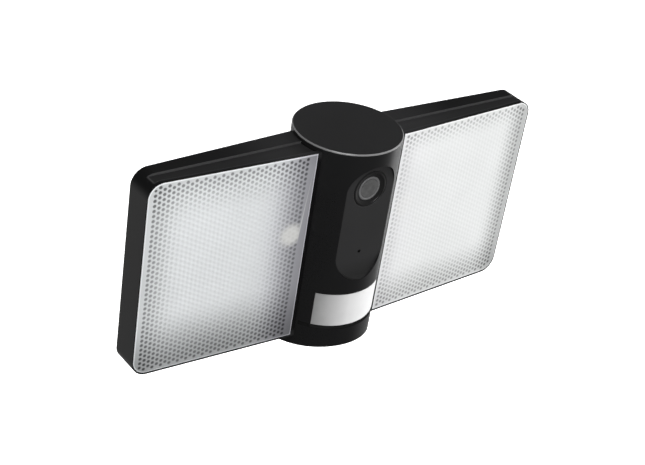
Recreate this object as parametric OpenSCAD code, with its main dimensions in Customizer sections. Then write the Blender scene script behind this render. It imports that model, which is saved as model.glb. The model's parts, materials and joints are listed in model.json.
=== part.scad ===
// Wall-mounted floodlight security camera: a round camera body between two LED lamp heads,
// carried by a pan and tilt bracket on a round wall canopy.
// Origin: centre of the canopy's back face, on the wall. +Z up, -Y out of the wall, +X along the wall.

/* [Camera body] */
// Diameter of the round camera body
body_d = 80; // [76:0.5:84]
// Height of the body's top above the origin
body_top = 122; // [116:0.5:130]
// Height of the sloped underside on the body's axis
body_bottom = -47; // [-50:0.5:-45]
// Slope of the underside, lower at the back
bottom_slope = 9.8; // [8:0.1:12]
// Distance from the wall to the body's axis
body_reach = 104; // [102:0.5:112]
// Thickness of the plastic shells
shell_t = 2.5; // [2:0.1:3]
// Thickness of the top and bottom caps
cap_t = 3; // [2.5:0.1:4]
// Height of the caps' rims that shows between a shell and the cap's outer face
cap_rim = 1.1; // [0.9:0.1:1.5]

/* [Faceplate and camera] */
// Half width of the flat faceplate recess, which is also its end radius
face_r = 20.9; // [19:0.1:21.5]
// Distance of the flat faceplate from the body's axis
face_y = 34.1; // [33:0.1:35]
// Height of the lower end centre of the faceplate
face_low = 38; // [36:0.5:42]
// Height of the camera's optical axis, the upper end centre of the faceplate
lens_z = 89.9; // [86:0.1:94]
// Radius of the round camera recess
lens_recess_r = 14.1; // [13.5:0.1:15]
// Outer radius of the pale ring around the camera glass
lens_ring_r = 9.27; // [8.5:0.01:10]
// Radius of the camera glass
lens_glass_r = 7.55; // [7:0.05:8]

/* [Motion sensor] */
// Lower edge of the motion sensor window
pir_z0 = -22; // [-24:0.5:-20]
// Upper edge of the motion sensor window
pir_z1 = 5.8; // [4:0.1:8]
// Half angle that the window spans about the body's axis
pir_half = 46.4; // [42:0.1:48]

/* [Lamp heads] */
// Half of the overall width
half_w = 168.9; // [160:0.1:175]
// Lowest height of the lamp heads
lamp_z0 = -36; // [-38:0.5:-34]
// Highest height of the lamp heads
lamp_z1 = 118.6; // [116:0.1:119]
// Distance from the centre plane to the inner edge of the diffusers
lamp_x0 = 38.5; // [38.5:0.1:40]
// Depth of the front face ahead of the body's axis at the inner end
front_in = 18.53; // [17:0.01:20]
// Depth of the front face ahead of the body's axis at the outer end
front_out = 11.58; // [11:0.01:14]
// Depth of the back face behind the body's axis at the inner end
back_in = 15.73; // [15:0.01:18]
// Depth of the back face behind the body's axis at the outer end
back_out = 10.27; // [10:0.01:13]
// Radius of the outer corners of the lamp heads
corner_r = 12; // [10:0.5:16]
// Depth of the shallow channels in the top and bottom faces
channel_d = 1.5; // [0.8:0.1:1.8]

/* [Wall bracket] */
// Diameter of the wall canopy
canopy_d = 108; // [104:1:116]
// Depth of the wall canopy
canopy_h = 20; // [19:0.5:21]
// Distance from the wall to the vertical pan axis
pan_y = 32; // [32:0.5:33]
// Distance from the wall to the horizontal tilt axis
tilt_y = 53; // [53:0.5:54]
// Radius of the pan and tilt knuckles
knuckle_r = 8.5; // [7.5:0.1:8.6]
// Radius of the pan and tilt bolts
bolt_r = 3; // [2.5:0.1:3.2]
// Hole-to-hole distance of the wall screw slots
slot_pitch = 80; // [76:1:82]
// Width of the wall screw slots
slot_w = 4.6; // [4:0.1:5]
// End-to-end length of the wall screw slots
slot_len = 14; // [10:0.5:15]

/* [Hidden] */
$fn = 96;
body_r = body_d / 2;
gap = 0.15;
seam = 0.2;
run_fit = 0.05;
screw_r = 1.5;
rake = atan((front_in - front_out) / (half_w - lamp_x0));
face_len = (half_w - lamp_x0) / cos(rake);
inner_r = body_r - shell_t;
diffuser_t = 1.8;
rebate_d = 2.7;
bezel = 0.8;
bezel_top = 0.5;
bezel_low = 1.3;
wall_side = 2.4;
wall_back = 2.6;
board_y = 12;
board_t = 1.6;
plate_t = 2;
ear_t = 4;
hub_half = 6;
washer_t = 0.8;
ear_in = 7;
ear_out = ear_in + ear_t;
wire_z = 55;
front_rim = 3.4;
channel_back = 0.3;
cavity_x = 42.6;
wire_hole = [20, -25];
lamp_screws = [[22, lamp_z0 + 16], [112, lamp_z0 + 16], [22, lamp_z1 - 16], [112, lamp_z1 - 16]];
shell_bolts = [[-23, 8], [23, 8], [-23, 100], [23, 100]];
button_x = -13;
button_y = -20;
button_r = 3.5;
flap = [4, 22, -27, -17];
hinge_y = flap[3] + 1;
hinge_t = 1.1;
hinge_r = 0.7;
slot_y0 = flap[2] + 3.4;
slot_y1 = slot_y0 + 2.2;

black = [0.055, 0.056, 0.06];
soft_black = [0.09, 0.09, 0.095];
steel = [0.6, 0.61, 0.62];
board_green = [0.05, 0.28, 0.15];

// Depth of the lamp front and back faces at a distance x from the centre plane, body frame.
function front_at(x) = -front_in + (front_in - front_out) * (x - lamp_x0) / (half_w - lamp_x0);
function back_at(x) = back_in - (back_in - back_out) * (x - lamp_x0) / (half_w - lamp_x0);
// Thickness of a lamp head at a distance u along its face, measured square to the face.
function head_depth(u) = (back_at(lamp_x0 + u) - front_at(lamp_x0 + u)) * cos(rake);
function arc(cx, cy, r, a0, a1, n) = [for (i = [0:n]) [cx + r * cos(a0 + (a1 - a0) * i / n),
    cy + r * sin(a0 + (a1 - a0) * i / n)]];

// Frames: the body's axis, the sloped underside and the right lamp's front face.
module at_body() translate([0, -body_reach, 0]) children();
module at_slope() at_body() translate([0, 0, body_bottom]) rotate([-bottom_slope, 0, 0]) children();
module at_face() at_body() translate([lamp_x0, -front_in, 0]) rotate([0, 0, rake]) children();

// A 2D outline drawn in X and Z, given depth from y0 to y1.
module deep(y0, y1) translate([0, y1, 0]) rotate([90, 0, 0]) linear_extrude(y1 - y0) children();
module along_y(y0, y1, r) translate([0, y0, 0]) rotate([-90, 0, 0]) cylinder(h = y1 - y0, r = r);
module along_x(x0, x1, r) translate([x0, 0, 0]) rotate([0, 90, 0]) cylinder(h = x1 - x0, r = r);
module box(x0, x1, y0, y1, z0, z1) translate([x0, y0, z0]) cube([x1 - x0, y1 - y0, z1 - z0]);

// Outline with two rounded outer corners and square inner ones.
module tile(x0, x1, z0, z1, r) {
    translate([x0, z0]) square([x1 - r - x0, z1 - z0]);
    translate([x1 - r - 1, z0 + r]) square([r + 1, z1 - z0 - 2 * r]);
    translate([x1 - r, z0 + r]) circle(r);
    translate([x1 - r, z1 - r]) circle(r);
}
// Vertical stadium outline between the faceplate's two end centres.
module stadium(r) {
    translate([-r, face_low]) square([2 * r, lens_z - face_low]);
    translate([0, face_low]) circle(r);
    translate([0, lens_z]) circle(r);
}
// Everything that lies deeper than t inside the sloped underside.
module above_slope(t) translate([0, 0, body_bottom]) rotate([-bottom_slope, 0, 0])
    box(-60, 60, -120, 120, t, 260);
module hex_head(h, r) cylinder(h = h, r = r, $fn = 6);
module screw(head_h, head_r, len, r) {
    cylinder(h = head_h, r = head_r);
    translate([0, 0, -len]) cylinder(h = len + 0.1, r = r);
}

// ---- Wall bracket -------------------------------------------------------------------------
module canopy() color(black) {
    edge_r = 5;
    r = canopy_d / 2;
    wall = 2.5;
    difference() {
        rotate([90, 0, 0]) rotate_extrude() polygon(concat([[0, 1.2], [r, 1.2]],
            arc(r - edge_r, canopy_h - edge_r, edge_r, 0, 90, 8), [[0, canopy_h]]));
        rotate([90, 0, 0]) translate([0, 0, 1]) cylinder(h = canopy_h - wall - 1, r = r - 4);
        for (z = [-34, 34]) translate([0, 0, z]) along_y(-canopy_h - 1, 0, 2.2);
        for (x = [-9, 9], z = [-14, 14]) translate([x, 0, z]) along_y(-canopy_h - 1, 0, 1.7);
        translate([wire_hole[0], 0, wire_hole[1]]) along_y(-canopy_h - 1, 0, 4.2);
    }
}
module canopy_gasket() color([0.12, 0.12, 0.12]) {
    r = canopy_d / 2;
    rotate([90, 0, 0]) difference() {
        cylinder(h = 1.1, r = r - 0.3);
        translate([0, 0, -1]) cylinder(h = 4, r = r - 3.8);
    }
}
module mounting_strap() color(steel) {
    strap_t = 1.6;
    slot_half = slot_len / 2 - slot_w / 2;
    difference() {
        union() {
            box(-48, 48, -strap_t, 0, -8, 8);
            box(-8, 8, -strap_t, 0, -42, 42);
        }
        for (s = [-1, 1]) translate([s * slot_pitch / 2, 0, 0]) {
            box(-slot_half, slot_half, -3, 1, -slot_w / 2, slot_w / 2);
            for (e = [-1, 1]) translate([e * slot_half, 0, 0]) along_y(-3, 1, slot_w / 2);
        }
        for (z = [-34, 34]) translate([0, 0, z]) along_y(-3, 1, 2);
    }
}
module canopy_screws() color(soft_black)
    for (z = [-34, 34]) translate([0, -canopy_h, z]) rotate([90, 0, 0]) difference() {
        screw(2.4, 4, canopy_h - 0.4, 1.9);
        translate([0, 0, 1.3]) hex_head(2, 1.8);
    }
module wire_grommet() color([0.1, 0.1, 0.1]) translate([wire_hole[0], 0, wire_hole[1]]) difference() {
    union() {
        along_y(-canopy_h - 1.6, -canopy_h - 0.05, 6);
        along_y(-canopy_h - 1, -canopy_h + 3, 4.1);
        along_y(-canopy_h + 2.55, -canopy_h + 4, 5.5);
    }
    along_y(-canopy_h - 3, -canopy_h + 5, 2.6);
}
module base_screws() color(steel)
    for (x = [-9, 9], z = [-14, 14]) translate([x, -canopy_h + 4.3, z]) rotate([-90, 0, 0])
        translate([0, 0, -1.8]) screw(1.8, 3, 3.9, screw_r);
module pan_base() color(black) {
    plate_y0 = -canopy_h - 2.4;
    difference() {
        union() {
            box(-13, 13, plate_y0, -canopy_h - 0.05, -19, 19);
            for (z = [ear_in, -ear_out]) {
                box(-knuckle_r, knuckle_r, -pan_y, plate_y0 + 0.1, z, z + ear_t);
                translate([0, -pan_y, z]) cylinder(h = ear_t, r = knuckle_r);
            }
        }
        translate([0, -pan_y, -20]) cylinder(h = 40, r = bolt_r + run_fit);
        for (x = [-9, 9], z = [-14, 14]) translate([x, 0, z])
            along_y(plate_y0 + 0.6, -canopy_h + 1, screw_r + run_fit);
    }
}
module pan_bolt() color(steel) translate([0, -pan_y, 0]) {
    translate([0, 0, -15.5]) cylinder(h = 15.5 + ear_out + 0.2, r = bolt_r);
    translate([0, 0, ear_out + 0.1]) hex_head(3.6, 5.6);
}
module pan_nut() color(steel) translate([0, -pan_y, -ear_out - 3.5]) difference() {
    hex_head(3.4, 5.6);
    translate([0, 0, -1]) cylinder(h = 6, r = bolt_r + run_fit);
}
module washer() difference() {
    cylinder(h = washer_t, r = knuckle_r - 0.5);
    translate([0, 0, -1]) cylinder(h = 3, r = bolt_r + 0.1);
}
module pan_washers() color([0.85, 0.85, 0.82]) for (z = [-ear_in + 0.1, ear_in - 0.1 - washer_t])
    translate([0, -pan_y, z]) washer();

// ---- Swivel link between the pan and tilt axes --------------------------------------------
module swivel_link() color(black) {
    web_y0 = -tilt_y + knuckle_r + 0.6;
    web_y1 = web_y0 + 3.4;
    difference() {
        union() {
            translate([0, -pan_y, -hub_half]) cylinder(h = 2 * hub_half, r = knuckle_r);
            box(-knuckle_r, knuckle_r, web_y0, -pan_y, -hub_half, hub_half);
            box(-ear_out, ear_out, web_y0, web_y1, -hub_half, hub_half);
            for (x = [ear_in, -ear_out]) {
                box(x, x + ear_t, -tilt_y, web_y0 + 0.1, -hub_half, hub_half);
                translate([0, -tilt_y, 0]) along_x(x, x + ear_t, knuckle_r);
            }
        }
        translate([0, -pan_y, -20]) cylinder(h = 40, r = bolt_r + run_fit);
        translate([0, -tilt_y, 0]) along_x(-20, 20, bolt_r + run_fit);
    }
}
module tilt_bolt() color(steel) translate([0, -tilt_y, 0]) {
    along_x(-15.5, ear_out + 0.2, bolt_r);
    translate([ear_out + 0.1, 0, 0]) rotate([0, 90, 0]) hex_head(3.6, 5.6);
}
module tilt_nut() color(steel) translate([-ear_out - 3.5, -tilt_y, 0]) rotate([0, 90, 0]) difference() {
    hex_head(3.4, 5.6);
    translate([0, 0, -1]) cylinder(h = 6, r = bolt_r + run_fit);
}

// ---- Back of the body: tilt lug and gland --------------------------------------------------
module tilt_washers() color([0.85, 0.85, 0.82]) for (x = [-ear_in + 0.1, ear_in - 0.1 - washer_t])
    translate([x, -tilt_y, 0]) rotate([0, 90, 0]) washer();
module tilt_lug() color(black) {
    saddle_y = body_r + 1.7;
    difference() {
        union() {
            at_body() box(-14, 14, 36, saddle_y, -20, 20);
            at_body() box(-hub_half, hub_half, saddle_y - 0.1, body_reach - tilt_y, -hub_half, hub_half);
            translate([0, -tilt_y, 0]) along_x(-hub_half, hub_half, knuckle_r);
        }
        translate([0, -tilt_y, 0]) along_x(-20, 20, bolt_r + run_fit);
        at_body() translate([0, 0, -30]) cylinder(h = 60, r = body_r + gap);
        at_body() for (x = [-10, 10], z = [-14, 14]) translate([x, 0, z])
            along_y(30, saddle_y - 0.4, screw_r + run_fit);
    }
}
module lug_screws() color(steel) at_body() for (x = [-10, 10], z = [-14, 14]) translate([x, 35, z])
    rotate([90, 0, 0]) screw(2, 3, body_r + 1.1 - 35, screw_r);
module cable_gland() color(soft_black) at_body() translate([0, 0, -34]) difference() {
    union() {
        along_y(34.9, 36.6, 7.5);
        along_y(36.5, 47, 4.9);
        translate([0, 40.3, 0]) rotate([-90, 0, 0]) hex_head(4, 8);
        along_y(44, 50, 6.4);
        translate([0, 49.9, 0]) rotate([-90, 0, 0]) cylinder(h = 3, r1 = 6.4, r2 = 4.6);
    }
    along_y(30, 60, 3.2);
}

// ---- Body shells and caps ------------------------------------------------------------------
module tube_ring(z0, z1, r_in, r_out) translate([0, 0, z0]) difference() {
    cylinder(h = z1 - z0, r = r_out);
    translate([0, 0, -1]) cylinder(h = z1 - z0 + 2, r = r_in);
}
// Wedge of a given half angle about the front direction.
module front_sector(half, z0, z1) translate([0, 0, z0]) linear_extrude(z1 - z0)
    polygon([[0, 0], [-80 * sin(half), -80 * cos(half)], [-80 * sin(half), -90],
        [80 * sin(half), -90], [80 * sin(half), -80 * cos(half)]]);

module front_shell() color(black) at_body() difference() {
    union() {
        intersection() {
            tube_ring(-70, body_top - cap_rim - seam, inner_r, body_r);
            box(-60, 60, -60, -0.1, -80, 150);
            above_slope(cap_rim + seam);
        }
        intersection() {
            deep(-body_r, -face_y + 2.6) stadium(face_r + 2);
            cylinder(h = 150, r = body_r - 0.1);
        }
    }
    deep(-60, -20) stadium(face_r);
    intersection() {
        tube_ring(pir_z0, pir_z1, 30, 60);
        front_sector(pir_half, pir_z0 - 1, pir_z1 + 1);
    }
    // Sloped sill under the sensor window.
    intersection() {
        translate([0, 0, pir_z0 - 2.4]) difference() {
            cylinder(h = 2.5, r = body_r + 5);
            translate([0, 0, -0.01]) cylinder(h = 2.52, r1 = body_r + 0.05, r2 = body_r - 1.2);
        }
        front_sector(pir_half, pir_z0 - 4, pir_z0 + 1);
    }
}
module rear_shell() color(black) at_body() difference() {
    intersection() {
        tube_ring(-70, body_top - cap_rim - seam, inner_r, body_r);
        box(-60, 60, 0.1, 60, -80, 150);
        above_slope(cap_rim + seam);
    }
    for (x = [-10, 10], z = [-14, 14]) translate([x, 0, z]) along_y(20, 60, screw_r + 0.2);
    translate([0, 0, -34]) along_y(20, 60, 5.1);
    for (p = shell_bolts) translate([p[0], 0, p[1]]) {
        along_y(20, 60, screw_r + 0.2);
        along_y(31.6, 60, 3.2);
    }
    for (s = [-1, 1]) translate([s * 30, 6, wire_z]) along_x(-15, 15, 3.2);
}
module top_cap() color(soft_black) at_body() {
    chamfer = 0.7;
    spigot_r = inner_r - 0.2;
    spigot_h = 8;
    translate([0, 0, body_top]) rotate_extrude() polygon([[0, -cap_t], [spigot_r - 2, -cap_t],
        [spigot_r - 2, -spigot_h], [spigot_r, -spigot_h], [spigot_r, -cap_rim],
        [body_r, -cap_rim], [body_r, -chamfer], [body_r - chamfer, 0], [0, 0]]);
}
module bottom_cap() color(black) {
    difference() {
        at_body() for (level = [[body_r, 0, cap_rim], [inner_r - 0.2, cap_rim - 0.1, cap_t]])
            intersection() {
                translate([0, 0, body_bottom - 20]) cylinder(h = 60, r = level[0]);
                translate([0, 0, body_bottom]) rotate([-bottom_slope, 0, 0])
                    box(-60, 60, -60, 60, level[1], level[2]);
            }
        // Speaker grille, card opening, flap recess and button bore.
        at_slope() for (i = [-2:2], j = [-2:2])
            if (abs(i + j) <= 2)
                translate([(i + j / 2) * 4, 13 + j * 3.46, -1]) cylinder(h = cap_t + 2, r = 1);
        at_slope() box(flap[0] + 3, flap[1] - 3, slot_y0, slot_y1, -1, cap_t + 1);
        at_slope() box(flap[0] - 0.3, flap[1] + 0.3, flap[2] - 0.3, flap[3] + 2.8, -1, 2);
        at_slope() translate([0, hinge_y, hinge_t])
            along_x(flap[0] - 1.6, flap[1] + 1.6, hinge_r + run_fit);
        at_slope() translate([button_x, button_y, -1]) cylinder(h = cap_t + 2, r = button_r + 0.3);
    }
}
module shell_screws() color(steel) at_body() for (p = shell_bolts) translate([p[0], 31.7, p[1]])
    rotate([-90, 0, 0]) difference() {
        screw(1.9, 2.9, 14, screw_r);
        translate([0, 0, 0.9]) hex_head(2, 1.4);
    }

// ---- Faceplate and camera ------------------------------------------------------------------
// Concave run-out from the flat plate to the body's surface at its lower end.
module face_scoop() {
    scoop_z = face_low - 8;
    rise = body_r - face_y;
    drop = face_r - 8;
    scoop_r = (rise * rise + drop * drop) / (2 * rise);
    box(-40, 40, -60, -face_y, scoop_z, 140);
    translate([0, -face_y - scoop_r, scoop_z]) along_x(-40, 40, scoop_r);
}
module faceplate() color([0.1, 0.1, 0.105]) at_body() difference() {
    intersection() {
        deep(-body_r, -face_y + 2.5) stadium(face_r - gap);
        cylinder(h = 140, r = body_r - 0.05);
    }
    face_scoop();
    translate([0, -face_y - 0.01, lens_z]) rotate([-90, 0, 0]) {
        cylinder(h = 0.5, r1 = lens_recess_r + 0.5, r2 = lens_recess_r);
        cylinder(h = 8, r = lens_recess_r);
    }
    translate([0, 0, face_low]) along_y(-body_r, -20, 0.8);
}
// Dished ring between the faceplate and the pale lens ring.
module lens_bezel() color([0.03, 0.03, 0.033]) at_body() translate([0, -face_y, lens_z])
    rotate([90, 0, 0]) rotate_extrude() polygon([[lens_ring_r + 0.05, -1.1], [lens_ring_r + 1.2, -1],
        [12.2, -0.45], [12.4, -0.1], [13.1, -0.05], [lens_recess_r - 0.1, -0.35],
        [lens_recess_r - 0.1, -2.9], [lens_ring_r + 0.05, -2.9]]);
module lens_ring() color([0.42, 0.42, 0.43]) at_body() translate([0, -face_y, lens_z])
    rotate([90, 0, 0]) rotate_extrude() polygon([[lens_glass_r + 0.05, -1.15],
        [lens_glass_r + 0.5, -0.9], [lens_ring_r - 0.3, -0.9], [lens_ring_r, -1.15],
        [lens_ring_r, -2.8], [lens_glass_r + 0.05, -2.8]]);
module camera_window() color([0.3, 0.3, 0.31]) at_body() translate([0, 0, lens_z])
    along_y(-face_y + 1, -face_y + 2.4, lens_glass_r);
module lens_barrel() color(black) at_body() translate([0, 0, lens_z]) difference() {
    union() {
        along_y(-face_y + 3.1, -face_y + 11, 6.6);
        along_y(-face_y + 10.9, -face_y + 17, 7.6);
        box(-9, 9, -face_y + 16.9, -face_y + 20, -9, 9);
    }
    along_y(-face_y + 3, -face_y + 4.2, 4.6);
}
module sensor_board() color(board_green) at_body() translate([0, -face_y, lens_z]) {
    box(-13, 13, 20.1, 21.7, -13, 13);
    box(-5, 5, 21.6, 23, -10, -5);
}
module camera_bracket() color(steel) at_body() {
    y0 = -face_y + 23.4;
    box(-16, 16, y0, y0 + 1.6, lens_z - 15, lens_z + 15);
    for (x = [-16, 14.4]) box(x, x + 1.6, y0, 2.9, lens_z - 8, lens_z + 8);
}
module microphone() color([0.08, 0.08, 0.08]) at_body() translate([0, 0, face_low]) difference() {
    along_y(-face_y + 2.6, -face_y + 6.5, 3.2);
    along_y(-face_y, -face_y + 4, 0.8);
}

// ---- Motion sensor ---------------------------------------------------------------------------
module pir_window() color([0.9, 0.91, 0.92]) at_body() {
    intersection() {
        tube_ring(pir_z0 + gap, pir_z1 - gap, inner_r - 0.5, body_r - 0.4);
        front_sector(pir_half - 0.25, pir_z0 - 1, pir_z1 + 1);
    }
    intersection() {
        tube_ring(pir_z0 - 2, pir_z1 + 2, inner_r - 1.6, inner_r - 0.15);
        front_sector(pir_half + 3, pir_z0 - 3, pir_z1 + 3);
    }
}
module pir_sensor() color(steel) at_body() translate([0, 0, (pir_z0 + pir_z1) / 2]) {
    box(-15, 15, -12, -10.4, -11, 11);
    along_y(-12.6, -11.9, 5.2);
    along_y(-16.5, -12.5, 4.6);
    translate([0, -10.4, 0]) for (x = [-11, 11]) translate([x, -0.1, 0]) along_y(0, 13.3, 2);
}

// ---- Chassis and electronics -----------------------------------------------------------------
module chassis() color([0.5, 0.51, 0.52]) at_body() difference() {
    union() {
        box(-33, 33, 3, 5, -28, 110);
        for (x = [-24, 24], z = [16, 60]) translate([x, 0, z]) along_y(0.7, 3.1, 3);
        for (x = [-15, 15], z = [10, 90]) translate([x, 0, z]) along_y(4.9, 8.9, 3);
        for (p = shell_bolts) translate([p[0], 0, p[1]]) along_y(4.9, 26.2, 3.6);
    }
    for (p = shell_bolts) translate([p[0], 0, p[1]]) along_y(14, 40, screw_r + run_fit);
    box(-12, 12, 0, 10, -20, -4);
}
module main_board() color(board_green) at_body() {
    box(-28, 28, -1, 0.6, 12, 66);
    box(-9, 9, -2.6, -0.9, 34, 52);
    box(12, 22, -2.2, -0.9, 20, 32);
    box(-22, -14, -3, -0.9, 18, 26);
    box(14, 24, -7, -0.9, 54, 62);
}
module wifi_antenna() color([0.75, 0.6, 0.25]) at_body() box(-31, -18, 2.25, 2.95, 68, 108);
module driver_board() color([0.55, 0.4, 0.2]) at_body() {
    box(-19, 19, 9, 10.6, 4, 96);
    box(-12, 12, 10.5, 24, 40, 62);
    translate([8, 0, 76]) along_y(10.5, 26, 7);
    translate([-9, 0, 78]) along_y(10.5, 22, 5);
    box(-14, 14, 10.5, 18, 10, 24);
}
module speaker() color([0.08, 0.08, 0.08]) at_slope() translate([0, 13, cap_t + 0.15]) difference() {
    union() {
        cylinder(h = 2.5, r = 14);
        translate([0, 0, 2.4]) cylinder(h = 4, r1 = 13, r2 = 8);
        translate([0, 0, 6.3]) cylinder(h = 3, r = 8);
    }
    translate([0, 0, -0.1]) cylinder(h = 1.6, r1 = 12, r2 = 6);
}
module button_board() color(board_green) at_slope() {
    box(-20, -6, -27, -13, 9.5, 11.1);
    box(button_x - 3, button_x + 3, button_y - 3, button_y + 3, 6.4, 9.6);
}
module card_socket() color(steel) at_slope() difference() {
    box(flap[0] + 1, flap[1] - 1, slot_y0 - 0.9, slot_y1 + 0.9, cap_t + 0.2, cap_t + 16);
    box(flap[0] + 3, flap[1] - 3, slot_y0, slot_y1, cap_t, cap_t + 14);
}
module reset_button() color([0.13, 0.13, 0.13]) at_slope() translate([button_x, button_y, 0]) {
    translate([0, 0, 0.2]) cylinder(h = 5, r = button_r);
    translate([0, 0, cap_t + 0.3]) cylinder(h = 1, r = button_r + 1);
}
// Rubber flap over the memory card, hinged on a bar along its inner edge.
module card_cover() color([0.1, 0.1, 0.1]) at_slope() {
    box(flap[0], flap[1], flap[2], hinge_y - 0.3, 0.2, 1.4);
    translate([0, hinge_y, hinge_t]) along_x(flap[0] - 1.3, flap[1] + 1.3, hinge_r);
}

// ---- Lamp heads, drawn on the right ------------------------------------------------------------
module lamp_block() intersection() {
    translate([0, 0, lamp_z0 - 1]) linear_extrude(lamp_z1 - lamp_z0 + 2) polygon([
        [30, front_at(30)], [half_w, front_at(half_w)], [half_w, back_at(half_w)], [30, back_at(30)]]);
    deep(-60, 60) tile(0, half_w, lamp_z0, lamp_z1, corner_r);
}
// Outline of the diffuser in the face frame, shrunk by d.
module lens_outline(d) tile(d, face_len - bezel - d, lamp_z0 + bezel_low + d,
    lamp_z1 - bezel_top - d, corner_r - bezel - d);
// Shallow channel along a lamp head's top or bottom face, behind its front rim.
module channel(z0, z1) translate([0, 0, z0]) linear_extrude(z1 - z0) polygon([
    [20, front_at(20) + front_rim], [half_w + 9, front_at(half_w + 9) + front_rim],
    [half_w + 9, channel_back], [20, channel_back]]);
module housing() color(black) difference() {
    at_body() difference() {
        lamp_block();
        translate([0, 0, -80]) cylinder(h = 240, r = body_r + gap);
        channel(lamp_z1 - channel_d, lamp_z1 + 5);
        channel(lamp_z0 - 5, lamp_z0 + channel_d);
    }
    at_face() deep(-5, rebate_d) lens_outline(-gap);
    // Wedge-shaped cavity behind the gasket ledge.
    difference() {
        intersection() {
            at_face() deep(rebate_d - 1, 60) lens_outline(wall_side);
            at_body() box(cavity_x, half_w - wall_side, -40, 40, lamp_z0, lamp_z1);
            at_body() translate([0, 0, lamp_z0]) linear_extrude(lamp_z1 - lamp_z0) polygon([
                [30, -60], [half_w, -60], [half_w, back_at(half_w) - wall_back],
                [30, back_at(30) - wall_back]]);
        }
        for (p = lamp_screws) at_face() translate([p[0], 0, p[1]])
            along_y(board_y + board_t + plate_t + 0.3, 40, 4.4);
    }
    for (p = lamp_screws) at_face() translate([p[0], 0, p[1]]) {
        along_y(0, 40, screw_r + 0.2);
        along_y(head_depth(p[0]) - 2.6, 50, 3.2);
    }
    at_body() translate([42, 6, wire_z]) along_x(-8, 4, 3.2);
}
module gasket() color([0.15, 0.15, 0.15]) at_face() deep(diffuser_t + 0.05, rebate_d - 0.05)
    difference() {
        lens_outline(0.5);
        lens_outline(2.1);
    }
module diffuser() color([0.88, 0.9, 0.92]) at_face() deep(0, diffuser_t) lens_outline(0);
module leds() color([0.95, 0.9, 0.6]) at_face() for (i = [0:6], j = [0:8])
    translate([24 + i * 14, 0, lamp_z0 + 21 + j * 14])
        box(-1.5, 1.5, board_y - 0.75, board_y - 0.05, -1.5, 1.5);
module led_board() color([0.92, 0.92, 0.92]) at_face()
    box(13, 122, board_y, board_y + board_t, lamp_z0 + 9, lamp_z1 - 9);
module heat_spreader() color([0.7, 0.71, 0.72]) at_face() difference() {
    box(11, 124, board_y + board_t + 0.05, board_y + board_t + plate_t, lamp_z0 + 7, lamp_z1 - 7);
    for (p = lamp_screws) translate([p[0], 0, p[1]])
        along_y(board_y, 30, screw_r + run_fit);
}
// Pale plug that seals the lamp's wires, in front of the board near the body.
module wire_plug() color([0.93, 0.93, 0.9]) at_face() translate([12.5, 0, wire_z]) difference() {
    union() {
        along_y(4, board_y - 0.9, 6);
        along_y(board_y - 3.5, board_y - 0.1, 7.5);
    }
    along_y(2, 5.5, 2.5);
}
module housing_screws() color(steel) at_face() for (p = lamp_screws)
    translate([p[0], head_depth(p[0]) - 2.5, p[1]]) rotate([-90, 0, 0]) difference() {
        screw(1.8, 2.9, head_depth(p[0]) - 2.5 - board_y - board_t - 0.2, screw_r);
        translate([0, 0, 0.8]) hex_head(2, 1.4);
    }

canopy();
canopy_gasket();
mounting_strap();
canopy_screws();
wire_grommet();
base_screws();
pan_base();
pan_bolt();
pan_nut();
pan_washers();
swivel_link();
tilt_bolt();
tilt_nut();
tilt_washers();
tilt_lug();
lug_screws();
cable_gland();
front_shell();
rear_shell();
top_cap();
bottom_cap();
shell_screws();
faceplate();
lens_bezel();
lens_ring();
camera_window();
lens_barrel();
sensor_board();
camera_bracket();
microphone();
pir_window();
pir_sensor();
chassis();
main_board();
wifi_antenna();
driver_board();
speaker();
button_board();
card_socket();
reset_button();
card_cover();
mirror([1, 0, 0]) housing();  // left_housing
mirror([1, 0, 0]) gasket();  // left_gasket
mirror([1, 0, 0]) diffuser();  // left_diffuser
mirror([1, 0, 0]) leds();  // left_leds
mirror([1, 0, 0]) led_board();  // left_led_board
mirror([1, 0, 0]) heat_spreader();  // left_heat_spreader
mirror([1, 0, 0]) wire_plug();  // left_wire_plug
mirror([1, 0, 0]) housing_screws();  // left_housing_screws
housing();  // right_housing
gasket();  // right_gasket
diffuser();  // right_diffuser
leds();  // right_leds
led_board();  // right_led_board
heat_spreader();  // right_heat_spreader
wire_plug();  // right_wire_plug
housing_screws();  // right_housing_screws
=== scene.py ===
import json
import math

import bpy
from mathutils import Euler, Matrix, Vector
from mathutils.geometry import delaunay_2d_cdt


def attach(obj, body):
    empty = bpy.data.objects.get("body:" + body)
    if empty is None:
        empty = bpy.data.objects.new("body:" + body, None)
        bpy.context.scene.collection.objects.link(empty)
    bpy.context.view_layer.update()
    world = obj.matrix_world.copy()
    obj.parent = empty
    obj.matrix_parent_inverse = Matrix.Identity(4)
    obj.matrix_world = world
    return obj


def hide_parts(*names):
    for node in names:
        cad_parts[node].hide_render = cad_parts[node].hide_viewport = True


# The visual model keeps the CAD pieces and gives each a procedural finish. The two plain diffusers
# are replaced by dimpled sheets.
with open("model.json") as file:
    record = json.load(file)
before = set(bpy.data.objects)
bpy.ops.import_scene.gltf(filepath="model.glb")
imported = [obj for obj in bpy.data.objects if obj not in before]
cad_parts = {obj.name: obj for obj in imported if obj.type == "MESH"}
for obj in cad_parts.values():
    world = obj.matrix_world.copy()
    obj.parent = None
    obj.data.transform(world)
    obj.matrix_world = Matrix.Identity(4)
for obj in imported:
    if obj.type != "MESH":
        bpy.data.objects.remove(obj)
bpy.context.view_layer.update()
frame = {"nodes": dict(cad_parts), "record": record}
nodes = frame["nodes"]
scene = bpy.context.scene
MM = 0.001

# ---- Sizes of the lamps (mm) ----------------------------------------------------------------
# Half the overall width, where a lamp starts beside the body, and the body axis's distance from the
# wall.
HALF_W, LAMP_X0, REACH = 168.9, 38.5, 104.0
# How far a lamp's front face stands before that axis, at its inner and outer end.
FRONT_IN, FRONT_OUT = 18.53, 11.58
LAMP_LOW, LAMP_HIGH = -36.0, 118.6
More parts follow.
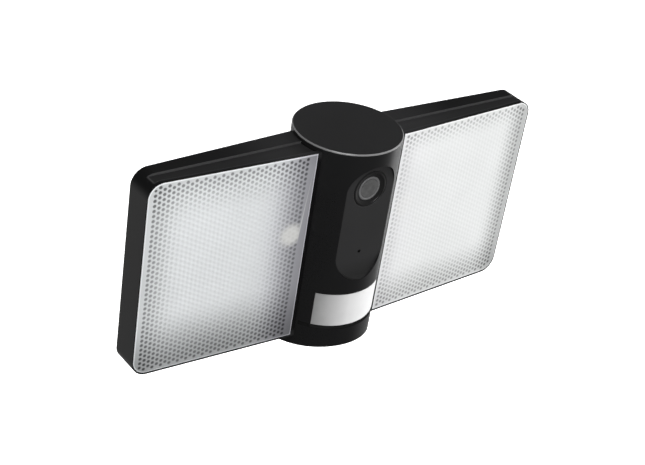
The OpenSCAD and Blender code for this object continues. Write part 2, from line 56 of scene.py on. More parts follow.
# Housing rim left beside, above and below the sheet, and the housing's corner radius.
BEZEL, BEZEL_TOP, BEZEL_LOW, CORNER = 0.8, 0.5, 1.3, 12.0
RAKE = math.atan((FRONT_IN - FRONT_OUT) / (HALF_W - LAMP_X0))
FACE_LEN = (HALF_W - LAMP_X0) / math.cos(RAKE)

# ---- Sizes of the dimpled sheets (mm) -------------------------------------------------------
# Thickness, plain border, and how far the dimpled field lies below the border.
SHEET_T, BORDER, FIELD_DROP = 1.8, 1.1, 0.12
# Dimples: pitch within a column, pitch between columns, and the first row above the lower edge.
PITCH_Z, PITCH_U, FIRST_ROW = 3.85, 3.334, 3.4
PIT_R, PIT_SIDES, PIT_MARGIN = 1.52, 10, 0.05
# Dimples beside the border are made at the first of these shares of the radius that fits.
PIT_SHARES = (1.0, 0.8, 0.55)
# A dimple's rings inside its rim: share of its radius, share of its depth, how dark (1 is full).
PIT_RINGS = ((0.78, 0.5, 0.75), (0.42, 0.9, 1.0))
# Corner radii beside the body, of the dimpled field and of the sheet.
FIELD_INNER_R, SHEET_INNER_R = 1.0, 0.35
# The sheet's border from the field outwards: inset from the edge, depth, corner radius beside the
# body, and the brightness of the rim's painted highlight.
BORDER_LOOPS = ((BORDER - 0.05, 0.0, FIELD_INNER_R, 0.0),
                (0.95, 0.0, FIELD_INNER_R, 0.1),
                (0.8, 0.01, SHEET_INNER_R, 0.3),
                (0.25, 0.08, SHEET_INNER_R, 0.34),
                (0.08, 0.25, SHEET_INNER_R, 0.3),
                (0.0, 0.5, SHEET_INNER_R, 0.15),
                (0.0, SHEET_T, SHEET_INNER_R, 0.1))
# The upper part of the inner edge reaches deeper, so that no slit shows beside the body.
SKIRT_T, SKIRT_OUT, SKIRT_REACH = 3.2, 0.06, 1.0
# Pale plug behind the left sheet: its place along and up the sheet, and its radius.
PLUG_AT, PLUG_R = (13.0, 55.0), 11.0

# ---- Places that the finishes follow (m) ----------------------------------------------------
# Channel along a lamp's top: rear edge behind the body's axis, gap to the front face, ends, depth.
CHANNEL_BACK, CHANNEL_FRONT = 0.0003, 0.0034
CHANNEL_START, CHANNEL_END, CHANNEL_DEPTH = 0.03, 0.1626, 0.002
# Scoop at the faceplate's lower end, and the microphone hole with the blur of its rim; both are
# painted darker as shade.
SCOOP_LOW, SCOOP_TOP = 0.020, 0.031
MIC_Z, MIC_IN, MIC_OUT = 0.038, 0.0012, 0.0016
# Where the cap's flat top turns into its edge, which is painted pale as a highlight, as radii from
# the body's axis.
CAP_FLAT_R, CAP_EDGE_R = 0.03915, 0.0393
# Sill under the sensor window, painted darker as shade: low and top edge, half width, and where it
# fades out and in.
SILL_LOW, SILL_TOP, SILL_HALF = -0.0248, -0.0217, 0.0345
SILL_REAR, SILL_FRONT = -0.118, -0.12
# The sensor window's colour is painted brighter from the first of these places to the second, as
# painted light from the right.
PIR_PAINTED_SHADE_X, PIR_PAINTED_LIGHT_X = -0.030, -0.005
# Scales of the noises: grains of moulded plastic, and slow drift of its tone.
GRAIN, DRIFT = 1800.0, 14.0


# ---- Node material helpers ------------------------------------------------------------------
class Graph:
    """A Principled material and short ways to add nodes to it."""

    def __init__(self, name, **sockets):
        self.material = bpy.data.materials.new(name)
        self.material.use_nodes = True
        self.tree = self.material.node_tree
        self.shader = self.tree.nodes["Principled BSDF"]
        for socket, value in sockets.items():
            self.set(socket.replace("_", " "), value)

    def set(self, socket, value):
        """Link a node's output to the shader's socket, or write a plain number or colour on it."""
        if isinstance(value, bpy.types.NodeSocket):
            self.tree.links.new(value, self.shader.inputs[socket])
        else:
            if "Color" in socket:
                value = (*value, 1.0)
            self.shader.inputs[socket].default_value = value

    def node(self, kind, inputs=(), **settings):
        """Add a shader node; inputs maps sockets to outputs of other nodes or to plain values."""
        made = self.tree.nodes.new("ShaderNode" + kind)
        for key, value in settings.items():
            setattr(made, key, value)
        for key, value in dict(inputs).items():
            if isinstance(value, bpy.types.NodeSocket):
                self.tree.links.new(value, made.inputs[key])
            else:
                made.inputs[key].default_value = value
        return made

    def where(self):
        """Rest position in metres: the pieces' own coordinates, which move with them."""
        return self.node("TexCoord").outputs["Object"]

    def noise(self, scale, detail=3.0, rough=0.55, vector=None):
        return self.node("TexNoise", {"Vector": vector or self.where(), "Scale": scale,
                                      "Detail": detail, "Roughness": rough}).outputs["Fac"]

    def math(self, operation, a, b=0.0, clamp=False):
        return self.node("Math", {0: a, 1: b}, operation=operation, use_clamp=clamp).outputs[0]

    def span(self, value, low, high, out_low=0.0, out_high=1.0, smooth=True):
        """Map low..high to out_low..out_high, held at both ends."""
        made = self.node("MapRange", {"Value": value, "From Min": low, "From Max": high,
                                      "To Min": out_low, "To Max": out_high},
                         interpolation_type="SMOOTHSTEP" if smooth else "LINEAR")
        return made.outputs["Result"]

    def mix(self, factor, a, b):
        """Colour a where the factor is 0 and colour b where it is 1."""
        made = self.node("Mix", {"Factor": factor}, data_type="RGBA")
        for index, colour in ((6, a), (7, b)):
            if isinstance(colour, bpy.types.NodeSocket):
                self.tree.links.new(colour, made.inputs[index])
            else:
                made.inputs[index].default_value = (*colour, 1.0)
        return made.outputs[2]

    def bump(self, height, strength, distance, under=None):
        inputs = {"Height": height, "Strength": strength, "Distance": distance}
        if under is not None:
            inputs["Normal"] = under
        return self.node("Bump", inputs).outputs["Normal"]

    def rounded(self, radius):
        """Normal that rounds the sharp edges of the mesh."""
        return self.node("Bevel", {"Radius": radius}, samples=4).outputs["Normal"]

    def window(self, value, low, high, soft):
        """1 between low and high, fading to 0 over soft on both sides."""
        rise = self.span(value, low - soft, low)
        fall = self.span(value, high, high + soft, 1.0, 0.0)
        return self.math("MULTIPLY", rise, fall)

    def distance(self, a, b):
        """Length of a step of a one way and b across it."""
        square = self.math("ADD", self.math("MULTIPLY", a, a), self.math("MULTIPLY", b, b))
        return self.math("SQRT", square)

    def attribute(self, name):
        return self.node("Attribute", attribute_name=name).outputs["Fac"]


def moulded(name, dark, pale, rough, grain=0.5):
    """Moulded or coated plastic: fine grain, soft colour drift, worn-in roughness, rounded edges."""
    g = Graph(name)
    drift = g.noise(DRIFT, 2.0)
    speck = g.noise(GRAIN, 2.0)
    g.set("Base Color", g.mix(g.span(drift, 0.3, 0.7), dark, pale))
    wear = g.math("ADD", g.span(speck, 0.3, 0.7, -0.04, 0.04), g.span(drift, 0.3, 0.7, -0.03, 0.03))
    g.set("Roughness", g.math("ADD", wear, rough))
    g.set("Normal", g.bump(speck, grain, 0.00002, g.rounded(0.0003)))
    return g.material


def metal(name, colour, rough):
    """Plated or rolled metal with fine drawn streaks."""
    g = Graph(name, Metallic=1.0)
    stretch = g.node("Mapping", {"Vector": g.where(), "Scale": (60.0, 2200.0, 2200.0)})
    streaks = g.noise(1.0, 3.0, vector=stretch.outputs["Vector"])
    tarnish = g.noise(90.0, 4.0)
    duller = tuple(0.72 * c for c in colour)
    g.set("Base Color", g.mix(g.span(tarnish, 0.35, 0.75), colour, duller))
    g.set("Roughness", g.span(streaks, 0.2, 0.8, rough - 0.06, rough + 0.06))
    g.set("Normal", g.bump(streaks, 0.25, 0.00002, g.rounded(0.0002)))
    return g.material


def board(name, colour, trace, rough):
    """Circuit board with faint tracks under the solder mask."""
    g = Graph(name)
    cells = g.node("TexVoronoi", {"Vector": g.where(), "Scale": 420.0}, distance="MANHATTAN",
                   feature="DISTANCE_TO_EDGE").outputs["Distance"]
    tracks = g.span(cells, 0.03, 0.09)
    g.set("Base Color", g.mix(tracks, trace, colour))
    g.set("Roughness", g.span(g.noise(300.0), 0.3, 0.7, rough - 0.06, rough + 0.08))
    g.set("Normal", g.bump(tracks, 0.3, 0.00003, g.rounded(0.0002)))
    return g.material


def rubber(name, dark, pale, rough):
    """Matt rubber with dust in its surface."""
    g = Graph(name, Specular_IOR_Level=0.3)
    dust = g.noise(160.0, 5.0, 0.7)
    g.set("Base Color", g.mix(g.span(dust, 0.45, 0.8), dark, pale))
    g.set("Roughness", g.span(dust, 0.3, 0.8, rough - 0.05, rough + 0.1))
    g.set("Normal", g.bump(g.noise(900.0), 0.4, 0.00004, g.rounded(0.0003)))
    return g.material


# ---- Camera ---------------------------------------------------------------------------------
CAMERA_AT = (-0.6168, -0.8067, 0.5993)
CAMERA_TURN = (58.448, -8.023, -36.025)
CAMERA_LENS = 82.95

camera = bpy.data.objects.new("camera", bpy.data.cameras.new("camera"))
scene.collection.objects.link(camera)
camera.location = CAMERA_AT
camera.rotation_euler = Euler([math.radians(a) for a in CAMERA_TURN])
camera.data.sensor_width = 36.0
camera.data.lens = CAMERA_LENS
camera.data.clip_start = 0.05
scene.camera = camera

# ---- Floor and light ------------------------------------------------------------------------
FLOOR_Z, FLOOR_HALF = -0.75, 14.0
WHITE = (1.0, 1.0, 1.0)
AMBIENT, RIGHT_WALL, BACK_WALL = 0.06, 0.3, 0.42
CENTRE = (0.0, -0.1, 0.03)
scene.view_settings.view_transform = "Standard"


def floor_look():
    """Pale matt floor, lifted so that it stays nearly white under soft light."""
    g = Graph("pale_floor", Roughness=0.9, Specular_IOR_Level=0.1)
    g.set("Base Color", g.mix(g.noise(3.0), (0.93, 0.93, 0.93), (0.96, 0.96, 0.96)))
    g.set("Emission Color", WHITE)
    g.set("Emission Strength", 0.75)
    return g.material


def studio_floor():
    """Plain floor, kept out of the object's reflections."""
    mesh = bpy.data.meshes.new("studio_floor")
    half = FLOOR_HALF
    corners = [(-half, -half, 0), (half, -half, 0), (half, half, 0), (-half, half, 0)]
    mesh.from_pydata(corners, [], [(0, 1, 2, 3)])
    mesh.materials.append(floor_look())
    floor = bpy.data.objects.new("studio_floor", mesh)
    floor.location = (0.0, 0.0, FLOOR_Z)
    floor.visible_glossy = False
    floor.visible_diffuse = False
    scene.collection.objects.link(floor)


def studio_world():
    """Bright walls to the right and behind, dark towards the camera, white for the camera itself."""
    world = bpy.data.worlds.new("studio")
    scene.world = world
    world.use_nodes = True
    tree = world.node_tree
    link = tree.links.new

    def node(kind, **settings):
        made = tree.nodes.new("ShaderNode" + kind)
        for key, value in settings.items():
            setattr(made, key, value)
        return made

    def ramp(value, low, high, out_low, out_high):
        made = node("MapRange", interpolation_type="SMOOTHSTEP")
        link(value, made.inputs["Value"])
        for key, number in (("From Min", low), ("From Max", high), ("To Min", out_low),
                            ("To Max", out_high)):
            made.inputs[key].default_value = number
        return made.outputs["Result"]

    def lobe(towards, start, full, bright):
        dot = node("VectorMath", operation="DOT_PRODUCT")
        link(direction, dot.inputs[0])
        dot.inputs[1].default_value = towards
        return ramp(dot.outputs["Value"], start, full, 0.0, bright)

    def combine(operation, a, b):
        made = node("Math", operation=operation)
        link(a, made.inputs[0])
        if isinstance(b, float):
            made.inputs[1].default_value = b
        else:
            link(b, made.inputs[1])
        return made.outputs[0]

    direction = node("TexCoord").outputs["Generated"]
    height = node("SeparateXYZ")
    link(direction, height.inputs[0])
    right = lobe((0.94, 0.34, 0.0), 0.35, 0.85, RIGHT_WALL)
    back = lobe((0.0, 1.0, 0.0), 0.2, 0.9, BACK_WALL)
    walls = combine("ADD", right, back)
    low_part = ramp(height.outputs["Z"], -0.3, 0.12, 1.0, 0.04)
    light = combine("ADD", combine("MULTIPLY", walls, low_part), AMBIENT)
    seen = combine("MAXIMUM", light, node("LightPath").outputs["Is Camera Ray"])
    link(seen, tree.nodes["Background"].inputs["Strength"])
    tree.nodes["Background"].inputs["Color"].default_value = (*WHITE, 1.0)


def softbox(name, location, size, power, target=CENTRE, glossy=True, seen=True):
    """Rectangular light aimed at the target; glossy says whether the object reflects it."""
    data = bpy.data.lights.new(name, "AREA")
    data.shape = "RECTANGLE"
    data.size, data.size_y = size
    data.energy = power
    made = bpy.data.objects.new(name, data)
    made.location = location
    aim = Vector(target) - Vector(location)
    made.rotation_euler = aim.to_track_quat("-Z", "Y").to_euler()
    made.visible_glossy = glossy
    made.visible_camera = seen
    scene.collection.objects.link(made)


def around(turn, height, reach):
    """A place at that turn from the front towards the right, that height angle and distance."""
    t, h = math.radians(turn), math.radians(height)
    return (CENTRE[0] + reach * math.sin(t) * math.cos(h),
            CENTRE[1] - reach * math.cos(t) * math.cos(h), CENTRE[2] + reach * math.sin(h))


studio_floor()
studio_world()
softbox("key_right", around(80, 16, 2.4), (1.0, 1.0), 78.0, glossy=False)
softbox("kicker", (0.46, -0.13, -0.09), (0.25, 0.15), 0.12, target=(0.02, -0.13, 0.09), seen=False)
softbox("fill_front", around(-8, 18, 2.6), (1.4, 1.0), 50.0, glossy=False)
softbox("top", around(-41, 59, 2.2), (1.2, 1.2), 22.0)
softbox("back", around(180, 12, 2.6), (1.2, 1.2), 40.0, glossy=False)

# ---- Finishes of the record's slots ---------------------------------------------------------
BLACK, SOFT_BLACK = (0.0075, 0.0075, 0.0082), (0.010, 0.010, 0.011)
# Function, slot, and what the function takes after the slot's name.
PLAIN_FINISHES = (
    (moulded, "bracket_black", BLACK, SOFT_BLACK, 0.5, 0.8),
    (moulded, "bezel_black", (0.010, 0.010, 0.010), (0.013, 0.013, 0.013), 0.34, 0.2),
    (moulded, "ring_grey", (0.11, 0.11, 0.112), (0.14, 0.14, 0.142), 0.4),
    (moulded, "barrel_black", (0.01, 0.01, 0.01), (0.016, 0.016, 0.016), 0.6),
    (moulded, "gland_black", BLACK, SOFT_BLACK, 0.45),
    (moulded, "flap_plastic", BLACK, SOFT_BLACK, 0.55),
    (moulded, "washer_nylon", (0.6, 0.59, 0.55), (0.7, 0.69, 0.65), 0.45),
    (metal, "aluminium_plate", (0.62, 0.63, 0.64), 0.38),
    (metal, "screw_steel", (0.45, 0.45, 0.46), 0.32),
    (metal, "plate_steel", (0.55, 0.56, 0.58), 0.34),
    (metal, "antenna_brass", (0.72, 0.55, 0.24), 0.36),
    (rubber, "seal_rubber", (0.012, 0.012, 0.012), (0.02, 0.02, 0.02), 0.7),
    (rubber, "button_rubber", (0.015, 0.015, 0.016), (0.024, 0.024, 0.024), 0.7),
    (rubber, "plug_white", (0.82, 0.81, 0.76), (0.7, 0.69, 0.65), 0.55),
    (board, "board_green", (0.02, 0.14, 0.06), (0.05, 0.26, 0.12), 0.35),
    (board, "board_brown", (0.28, 0.16, 0.07), (0.4, 0.26, 0.12), 0.35),
    (board, "board_white", (0.85, 0.86, 0.86), (0.8, 0.81, 0.81), 0.4),
)
looks = {slot: finish(slot, *values) for finish, slot, *values in PLAIN_FINISHES}


def glass_look():
    """Tinted flat glass over the camera."""
    g = Graph("camera_glass", IOR=1.5, Coat_Weight=1.0, Coat_Roughness=0.03)
    smear = g.noise(220.0, 3.0)
    g.set("Base Color", g.mix(g.span(smear, 0.3, 0.7), (0.078, 0.078, 0.078), (0.1, 0.1, 0.1)))
    g.set("Roughness", g.span(smear, 0.3, 0.7, 0.1, 0.18))
    return g.material


def pir_look():
    """Milky polythene lens, painted brighter towards its right end as painted light."""
    g = Graph("pir_white", Roughness=0.38, Specular_IOR_Level=0.4)
    where = g.node("SeparateXYZ", {"Vector": g.where()}).outputs
    # Painted light: the colour brightens towards the right end, which faces the light.
    across = g.span(where["X"], PIR_PAINTED_SHADE_X, PIR_PAINTED_LIGHT_X, smooth=False)
    cloud = g.span(g.noise(60.0), 0.3, 0.7, -0.04, 0.04)
    tone = g.math("ADD", across, cloud, clamp=True)
    g.set("Base Color", g.mix(tone, (0.24, 0.24, 0.24), (0.745, 0.745, 0.745)))
    g.set("Normal", g.bump(g.noise(700.0), 0.15, 0.00002))
    g.set("Subsurface Weight", 0.1)
    g.set("Subsurface Radius", (1.0, 1.0, 1.0))
    g.set("Subsurface Scale", 0.002)
    return g.material


def led_look():
    """Phosphor over a lamp's light sources."""
    g = Graph("led_yellow", Roughness=0.3)
    g.set("Base Color", g.mix(g.noise(900.0), (0.86, 0.74, 0.2), (0.8, 0.62, 0.12)))
    return g.material


# Brightest tone of a sheet's rim with its painted highlight, and the colour of the plug behind the
# sheet.
RIM_TONE, PLUG_TONE = 0.86, (0.75, 0.75, 0.725)
# Shade along a sheet's edges: attribute, reach (m), and the tone right at that edge.
LEFT_SHEET_EDGES = (("from_inner", 0.034, 0.42), ("from_low", 0.054, 0.46),
                    ("from_top", 0.014, 0.88), ("from_outer", 0.022, 0.82))
LEFT_DOT_EDGES = (("from_inner", 0.045, 0.40), ("from_low", 0.050, 0.34),
                  ("from_top", 0.034, 0.36), ("from_outer", 0.032, 0.36))
RIGHT_SHEET_EDGES = (("from_inner", 0.02, 0.97), ("from_low", 0.034, 0.80),
                     ("from_top", 0.012, 0.97), ("from_outer", 0.024, 0.64))
RIGHT_DOT_EDGES = (("from_inner", 0.018, 0.66), ("from_low", 0.038, 0.46),
                   ("from_top", 0.020, 0.56), ("from_outer", 0.030, 0.42))
# Tints of a sheet beside the body and away from it; the tint beside the body colours its painted
# shade.
LEFT_TINTS = ((0.93, 0.93, 1.0), (0.965, 0.99, 1.0))
RIGHT_TINTS = ((0.985, 0.99, 1.0), (0.985, 1.0, 0.995))


def diffuser_look(name, sheet_tone, sheet_edges, dot_tone, dot_edges, plug_strength, tints):
    """Frosted sheet over a light box, with painted shade: darker towards its edges, most of all in
    the dimples.
    """
    g = Graph(name)

    def fall(edges):
        total = None
        for attribute, reach, low in edges:
            part = g.span(g.attribute(attribute), 0.0, reach, low, 1.0)
            total = part if total is None else g.math("MULTIPLY", total, part)
        return total

    cloud = g.span(g.noise(18.0, 2.0), 0.3, 0.7, 0.975, 1.025)
    near_edge = g.span(g.attribute("from_inner"), 0.0, 0.045)
    tint = g.mix(near_edge, *tints)
    # Painted shade: the sheet darkens towards its edges, where the body's shadow and the light box's
    # falloff are painted in.
    lit = g.math("MULTIPLY", g.math("MULTIPLY", fall(sheet_edges), cloud), sheet_tone)
    # Painted highlight: the rim's extra brightness is added to the sheet's tone.
    lit = g.math("MINIMUM", g.math("ADD", lit, g.attribute("painted_rim_highlight")), RIM_TONE)
    # Painted shade: the dimples darken more towards the edges.
    dark = g.math("MULTIPLY", fall(dot_edges), dot_tone)
    dimmed = g.math("MULTIPLY", lit, dark)
    tone = g.node("Mix", {"Factor": g.attribute("pit"), 2: lit, 3: dimmed}).outputs[0]
    plug = g.math("MULTIPLY", g.attribute("plug"), plug_strength)
    shade = g.node("VectorMath", {0: tint, 1: tone}, operation="MULTIPLY").outputs[0]
    g.set("Base Color", g.mix(plug, shade, PLUG_TONE))
    g.set("Roughness", g.span(g.noise(1500.0), 0.3, 0.7, 0.32, 0.42))
    g.set("Normal", g.bump(g.noise(2400.0), 0.2, 0.00001))
    return g.material


def cap_look():
    """Satin cap whose turned edge is smoother and carries a painted highlight in its pale colour."""
    g = Graph("cap_black")
    where = g.node("SeparateXYZ", {"Vector": g.where()}).outputs
    away = g.distance(where["X"], g.math("ADD", where["Y"], REACH * MM))
    edge = g.span(away, CAP_FLAT_R, CAP_EDGE_R, smooth=False)
    speck = g.noise(GRAIN, 2.0)
    drift = g.span(g.noise(20.0, 2.0), 0.3, 0.7)
    flat = g.mix(drift, (0.015, 0.015, 0.0155), (0.018, 0.018, 0.0185))
    # Painted highlight: the edge's pale grey colour stands for the light it catches.
    g.set("Base Color", g.mix(edge, flat, (0.2, 0.2, 0.202)))
    rough = g.span(speck, 0.3, 0.7, 0.38, 0.46)
    g.set("Roughness", g.math("SUBTRACT", rough, g.math("MULTIPLY", edge, 0.18)))
    g.set("Normal", g.bump(speck, 0.4, 0.00002))
    return g.material


def lamp_look():
    """Lamp housing: its channels' floors are a little paler and their edges carry painted highlight
    lines.
    """
    g = Graph("lamp_black", Specular_IOR_Level=0.45)
    where = g.node("SeparateXYZ", {"Vector": g.where()}).outputs
    out = g.math("ABSOLUTE", where["X"])
    forward = g.math("ADD", where["Y"], REACH * MM)
    front = g.span(out, LAMP_X0 * MM, HALF_W * MM, -FRONT_IN * MM, -FRONT_OUT * MM, smooth=False)
    behind = g.math("SUBTRACT", forward, front)
    middle = (LAMP_LOW + LAMP_HIGH) / 2 * MM
    half = (LAMP_HIGH - LAMP_LOW) / 2 * MM
    height = g.math("ABSOLUTE", g.math("SUBTRACT", where["Z"], middle))
    floor_level = half - CHANNEL_DEPTH
    level = g.span(height, floor_level - 0.0001, floor_level + 0.0001)
    across = g.span(forward, CHANNEL_BACK, CHANNEL_BACK + 0.00015, 1.0, 0.0)
    inside = g.math("MULTIPLY", across, g.span(behind, CHANNEL_FRONT, CHANNEL_FRONT + 0.0002))
    along = g.window(out, CHANNEL_START, CHANNEL_END, 0.0004)
    floor_part = g.math("MULTIPLY", g.math("MULTIPLY", inside, along), level)
    # Painted highlights: thin pale lines along the channels' back, front and end edges.
    back_line = g.window(forward, CHANNEL_BACK - 0.0002, CHANNEL_BACK + 0.0003, 0.0002)
    front_line = g.window(behind, CHANNEL_FRONT - 0.0005, CHANNEL_FRONT, 0.0002)
    at_end = g.window(out, CHANNEL_END - 0.0004, CHANNEL_END + 0.0005, 0.0003)
    end_line = g.math("MULTIPLY", at_end, inside)
    long_lines = g.math("MULTIPLY", g.math("MAXIMUM", back_line, front_line), along)
    painted_highlight_lines = g.math("MULTIPLY", g.math("MAXIMUM", long_lines, end_line), level)
    speck = g.noise(GRAIN, 2.0)
    drift = g.span(g.noise(DRIFT, 2.0), 0.3, 0.7)
    shell = g.mix(drift, (0.003, 0.003, 0.0032), (0.005, 0.005, 0.0052))
    paler = g.mix(floor_part, shell, (0.015, 0.015, 0.0154))
    # The tops are paler beside the body.
    near_body = g.math("MULTIPLY", g.span(out, 0.05, 0.11, 1.0, 0.0), g.span(height, 0.07, 0.075))
    paler_near_body = g.mix(g.math("MULTIPLY", near_body, 0.5), paler, (0.032, 0.032, 0.033))
    g.set("Base Color", g.mix(painted_highlight_lines, paler_near_body, (0.042, 0.042, 0.043)))
    g.set("Roughness", g.span(speck, 0.3, 0.7, 0.34, 0.42))
    g.set("Normal", g.bump(speck, 0.5, 0.00002, g.rounded(0.0003)))
    return g.material


def body_look():
    """Satin tube; the sill under the sensor window is left matt and painted a little darker as
    shade.
    """
    g = Graph("body_black")
    where = g.node("SeparateXYZ", {"Vector": g.where()}).outputs
    sill = g.math("MULTIPLY", g.window(where["Z"], SILL_LOW, SILL_TOP, 0.0003),
                  g.window(where["X"], -SILL_HALF, SILL_HALF, 0.0005))
    sill = g.math("MULTIPLY", sill, g.span(where["Y"], SILL_REAR, SILL_FRONT))
    drift = g.span(g.noise(DRIFT, 2.0), 0.3, 0.7)
    speck = g.noise(GRAIN, 2.0)
    shell = g.mix(drift, (0.0085, 0.0085, 0.0088), (0.011, 0.011, 0.0114))
    # Painted shade: the sill is coloured darker than the tube.
    g.set("Base Color", g.mix(sill, shell, (0.003, 0.003, 0.003)))
    rough = g.math("ADD", g.span(speck, 0.3, 0.7, 0.29, 0.35), g.span(drift, 0.0, 1.0, -0.02, 0.02))
    g.set("Roughness", g.math("ADD", rough, g.math("MULTIPLY", sill, 0.5)))
    g.set("Normal", g.bump(speck, 0.5, 0.00002, g.rounded(0.0003)))
    return g.material


def faceplate_look():
    """Fine-grained plate with painted shade: darker towards the bottom of its scoop and in its
    microphone hole.
    """
    g = Graph("faceplate_black")
    where = g.node("SeparateXYZ", {"Vector": g.where()}).outputs
    low = g.span(where["Z"], SCOOP_LOW, SCOOP_TOP, 1.0, 0.0, smooth=False)
    drift = g.span(g.noise(DRIFT, 2.0), 0.3, 0.7)
    speck = g.noise(GRAIN, 2.0)
    plate = g.mix(drift, (0.0235, 0.0235, 0.024), (0.0265, 0.0265, 0.027))
    # Painted shade: the plate darkens towards the bottom of its scoop.
    with_scoop_shade = g.mix(low, plate, (0.012, 0.012, 0.012))
    # Painted shade: a dark spot stands for the shade inside the microphone hole.
    away = g.distance(where["X"], g.math("SUBTRACT", where["Z"], MIC_Z))
    hole = g.span(away, MIC_IN, MIC_OUT, 1.0, 0.0)
    g.set("Base Color", g.mix(hole, with_scoop_shade, (0.002, 0.002, 0.002)))
    rough = g.span(speck, 0.3, 0.7, 0.33, 0.4)
    g.set("Roughness", g.math("ADD", rough, g.math("MULTIPLY", low, 0.15)))
    g.set("Normal", g.bump(speck, 0.3, 0.00002, g.rounded(0.0003)))
    return g.material


looks["body_black"] = body_look()
looks["faceplate_black"] = faceplate_look()
looks["lamp_black"] = lamp_look()
looks["cap_black"] = cap_look()
looks["camera_glass"] = glass_look()
looks["pir_white"] = pir_look()
looks["led_yellow"] = led_look()
left_sheet = diffuser_look("left_diffuser_frost", 0.75, LEFT_SHEET_EDGES, 1.0, LEFT_DOT_EDGES,
                           0.8, LEFT_TINTS)
right_sheet = diffuser_look("right_diffuser_frost", 0.755, RIGHT_SHEET_EDGES, 0.99,
                            RIGHT_DOT_EDGES, 0.25, RIGHT_TINTS)
looks["diffuser_frost"] = left_sheet

slot_of = {part["node"]: part["material_slot"] for part in frame["record"]["subparts"]}
for name, piece in nodes.items():
    for place in piece.material_slots:
        place.material = looks[slot_of[name]]


# ---- Diffusers ------------------------------------------------------------------------------
def face_point(side, u, depth, z):
    """Part frame, in metres, of a point u along a lamp's front face and depth behind it."""
    x = LAMP_X0 + u * math.cos(RAKE) - depth * math.sin(RAKE)
    y = -REACH - FRONT_IN + u * math.sin(RAKE) + depth * math.cos(RAKE)
    return (side * x * MM, y * MM, z * MM)


def outline(inset, inner_r, steps=12):
    """Counterclockwise (u, z) outline of the sheet, inset from its edge."""
    u0, u1 = inset, FACE_LEN - BEZEL - inset
    z0, z1 = LAMP_LOW + BEZEL_LOW + inset, LAMP_HIGH - BEZEL_TOP - inset
    radius = max(CORNER - BEZEL - inset, 1.0)
    points = []
    for cu, cz, r, first in ((u0, z0, inner_r, 180), (u1, z0, radius, -90),
                             (u1, z1, radius, 0), (u0, z1, inner_r, 90)):
        du = r if cu == u0 else -r
        dz = r if cz == z0 else -r
        for i in range(steps + 1):
            a = math.radians(first + 90 * i / steps)
            points.append((cu + du + r * math.cos(a), cz + dz + r * math.sin(a)))
    return points


def inside_field(u, z, inset):
    """Whether a point lies in the dimpled field's outline, inset that far from the sheet's edge."""
    u0, u1 = inset, FACE_LEN - BEZEL - inset
    z0, z1 = LAMP_LOW + BEZEL_LOW + inset, LAMP_HIGH - BEZEL_TOP - inset
    if not (u0 < u < u1 and z0 < z < z1):
        return False
    for cu, r in ((u0, FIELD_INNER_R), (u1, CORNER - BEZEL - inset)):
        ru = cu + r if cu == u0 else cu - r
        for cz in (z0 + r, z1 - r):
            beyond_u = (u < ru) if cu == u0 else (u > ru)
            beyond_z = (z < cz) if cz < (z0 + z1) / 2 else (z > cz)
            if beyond_u and beyond_z and math.hypot(u - ru, z - cz) > r:
                return False
    return True


def pit_centres(first_u, last_u):
    """Places and radii of the dimples; those beside the border are smaller."""
    z_low = LAMP_LOW + BEZEL_LOW + FIRST_ROW - PITCH_Z
    centres = []
    for i in range(int(FACE_LEN / PITCH_U) + 2):
        shift = PITCH_Z / 2 if i % 2 else 0.0
        for j in range(int((LAMP_HIGH - LAMP_LOW) / PITCH_Z) + 2):
            u, z = first_u + i * PITCH_U, z_low + j * PITCH_Z + shift
            for radius in [share * PIT_R for share in PIT_SHARES]:
                if u < last_u and inside_field(u, z, BORDER + radius + PIT_MARGIN):
                    centres.append((u, z, radius))
                    break
    return centres


def circle(u, z, radius):
    """Points of a dimple's ring."""
    angles = [2 * math.pi * k / PIT_SIDES for k in range(PIT_SIDES)]
    return [(u + radius * math.cos(a), z + radius * math.sin(a)) for a in angles]


def spot(u, z):
    """Key under which a point of the flat field is found again."""
    return (round(u, 3), round(z, 3))


def plug_cover(u, z):
    """How much the pale plug behind the sheet shows at a point, fading at its rim."""
    away = math.hypot(u - PLUG_AT[0], z - PLUG_AT[1]) / PLUG_R
    return min(1.0, max(0.0, 2.0 - 2.0 * away))


FIELDS = ("pit", "painted_rim_highlight", "from_inner", "from_outer", "from_low", "from_top", "plug")


def field_values(u, z, pit, painted_rim_highlight):
    """What the sheet's material reads at a point, in the order of FIELDS; distances in metres."""
    return (pit, painted_rim_highlight, u * MM, (FACE_LEN - BEZEL - u) * MM, (z - LAMP_LOW - BEZEL_LOW) * MM,
            (LAMP_HIGH - BEZEL_TOP - z) * MM, plug_cover(u, z))


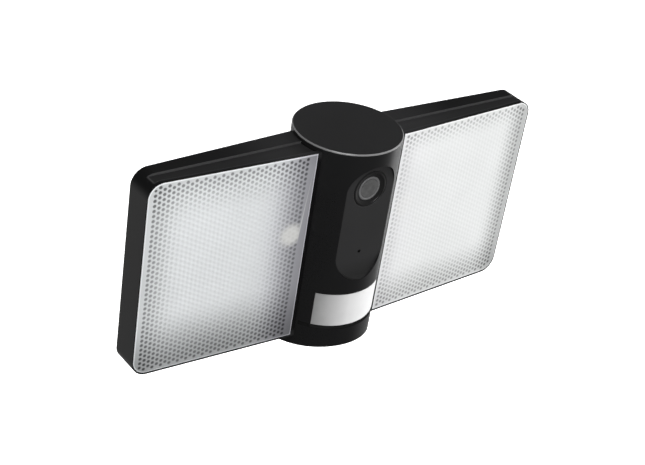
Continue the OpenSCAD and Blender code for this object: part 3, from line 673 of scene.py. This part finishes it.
class SheetMesh:
    """Points of one sheet, each with what its material reads there, and the faces between them."""

    def __init__(self, side):
        self.side = side
        self.verts, self.marks, self.faces = [], [], []

    def add(self, u, z, depth, pit=0.0, painted_rim_highlight=0.0):
        self.verts.append(face_point(self.side, u, depth, z))
        self.marks.append((u, z, pit, painted_rim_highlight))
        return len(self.verts) - 1

    def join(self, first, second):
        """A band of faces between two rings of as many points."""
        for k in range(len(first)):
            n = (k + 1) % len(first)
            self.faces.append((first[k], first[n], second[n], second[k]))

    def flat_field(self, loop, centres):
        """The field without its dimples, each rim cut out as a hole; returns the points by spot."""
        flat = [Vector(p) for p in loop]
        outlines = [list(range(len(loop)))]
        for u, z, radius in centres:
            rim = circle(u, z, radius)
            outlines.append(list(range(len(flat), len(flat) + len(rim))))
            flat.extend(Vector(p) for p in rim)
        points, _, triangles, _, _, origins = delaunay_2d_cdt(flat, [], outlines, 1, 1e-5)
        for p in points:
            self.add(p.x, p.y, FIELD_DROP)
        for triangle, origin in zip(triangles, origins):
            if 0 in origin and len(origin) == 1:
                self.faces.append(tuple(triangle))
        return {spot(p.x, p.y): i for i, p in enumerate(points)}

    def dimple(self, rim, u, z, radius, pit_depth):
        """Rings from the rim inwards, closed by a fan."""
        for share, drop, pit in PIT_RINGS:
            ring = [self.add(x, y, FIELD_DROP + pit_depth * drop, pit)
                    for x, y in circle(u, z, share * radius)]
            self.join(rim, ring)
            rim = ring
        tip = self.add(u, z, FIELD_DROP + pit_depth, 1.0)
        for k in range(len(rim)):
            self.faces.append((rim[k], rim[(k + 1) % len(rim)], tip))

    def border_point(self, u, z, depth, painted_rim_highlight):
        """A point of a border loop; beside the body the back's upper part is the skirt's."""
        upper = z > (LAMP_LOW + LAMP_HIGH) / 2
        if depth == SHEET_T and u < SKIRT_REACH and upper:
            return self.add(u - SKIRT_OUT, z, SKIRT_T, painted_rim_highlight=painted_rim_highlight)
        return self.add(u, z, depth, painted_rim_highlight=painted_rim_highlight)

    def border(self, inner):
        """Border, rounded front edge, sides and back, outwards from the field's own loop."""
        for inset, depth, inner_r, painted_rim_highlight in BORDER_LOOPS:
            shape = outline(inset, inner_r)
            outer = [self.border_point(u, z, depth, painted_rim_highlight) for u, z in shape]
            self.join(outer, inner)
            inner = outer
        self.faces.append(tuple(reversed(inner)))

    def to_object(self, name, sheet):
        """Blender object of the sheet, with the values of FIELDS at its points."""
        mesh = bpy.data.meshes.new(name)
        mesh.from_pydata(self.verts, [], self.faces)
        if self.side < 0:
            mesh.flip_normals()
        columns = zip(*(field_values(*mark) for mark in self.marks))
        for field, values in zip(FIELDS, columns):
            layer = mesh.attributes.new(field, "FLOAT", "POINT")
            layer.data.foreach_set("value", values)
        mesh.shade_smooth()
        mesh.set_sharp_from_angle(angle=math.radians(35))
        mesh.materials.append(sheet)
        made = bpy.data.objects.new(name, mesh)
        scene.collection.objects.link(made)
        return made


def build_diffuser(name, side, body, cad_node, sheet, first_u, last_u, pit_depth):
    """Dimpled sheet in place of the plain one; dimples start at first_u and stop before last_u."""
    shape = SheetMesh(side)
    loop = outline(BORDER, FIELD_INNER_R)
    centres = pit_centres(first_u, last_u)
    found = shape.flat_field(loop, centres)
    for u, z, radius in centres:
        rim = [found[spot(*p)] for p in circle(u, z, radius)]
        shape.dimple(rim, u, z, radius, pit_depth)
    shape.border([found[spot(*p)] for p in loop])
    made = shape.to_object(name, sheet)
    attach(made, body)
    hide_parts(cad_node)


build_diffuser("left_dimpled_diffuser", -1, "head", "left_diffuser", left_sheet, 7.9, 129.0,
               0.18)
build_diffuser("right_dimpled_diffuser", 1, "head", "right_diffuser", right_sheet, 3.9,
               124.8, 0.07)
